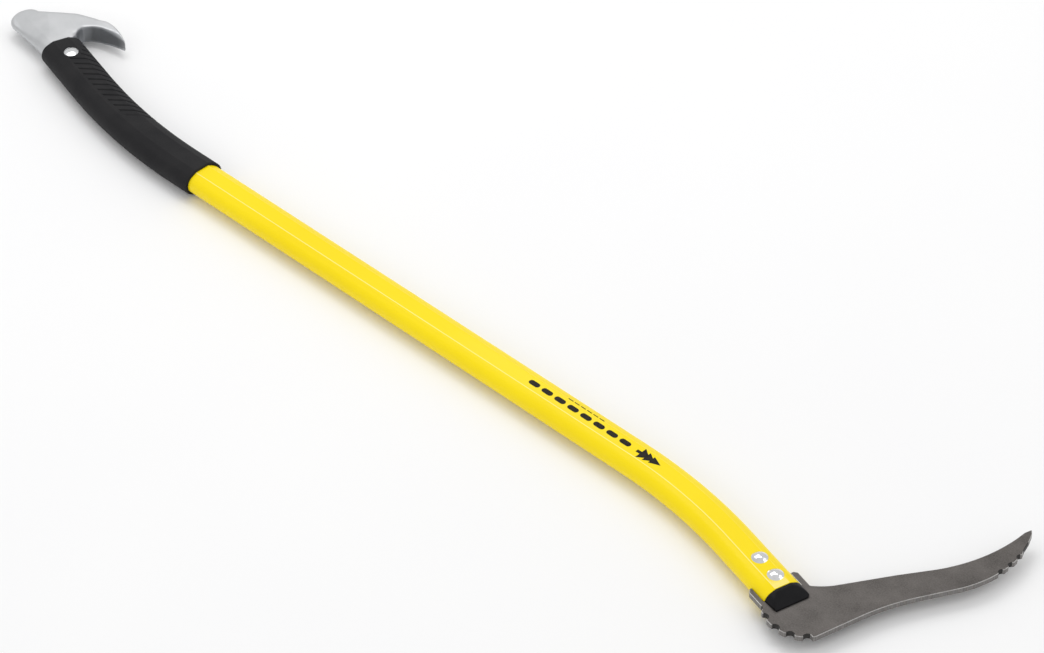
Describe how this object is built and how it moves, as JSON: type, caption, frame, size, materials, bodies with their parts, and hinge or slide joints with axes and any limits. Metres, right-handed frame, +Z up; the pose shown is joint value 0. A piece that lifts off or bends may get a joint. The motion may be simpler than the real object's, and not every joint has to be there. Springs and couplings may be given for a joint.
{
  "type": "timber pick with bent tube handle",
  "caption": "Long log-handling pick: toothed steel beak on a bent yellow aluminium tube with a black rubber grip and a cast tail hook.",
  "frame": {"origin": "floor point under the middle of the tool's outline, with the tool lying flat", "axes": "+X along the straight stretch of the handle toward the blade, +Y to the side the beak points to, +Z up, square to the blade plate"},
  "size_m": [1.2904, 0.2566, 0.031],
  "materials": {
    "steel_plate": "rolled, satin",
    "yellow_coat": "powder coated, semi-gloss",
    "black_plastic": "moulded, satin",
    "bright_steel": "polished zinc",
    "black_rubber": "moulded, matt",
    "cast_aluminium": "tumbled casting, satin"
  },
  "bodies": {
    "root": {"blade": "steel_plate", "handle_tube": "yellow_coat", "end_plug_upper": "black_plastic", "end_plug_lower": "black_plastic", "head_bolts": "bright_steel", "head_nuts": "bright_steel", "grip_bolt": "bright_steel", "grip_nut": "bright_steel", "grip_sleeve": "black_rubber", "tail_hook": "cast_aluminium"}
  },
  "joints": []
}
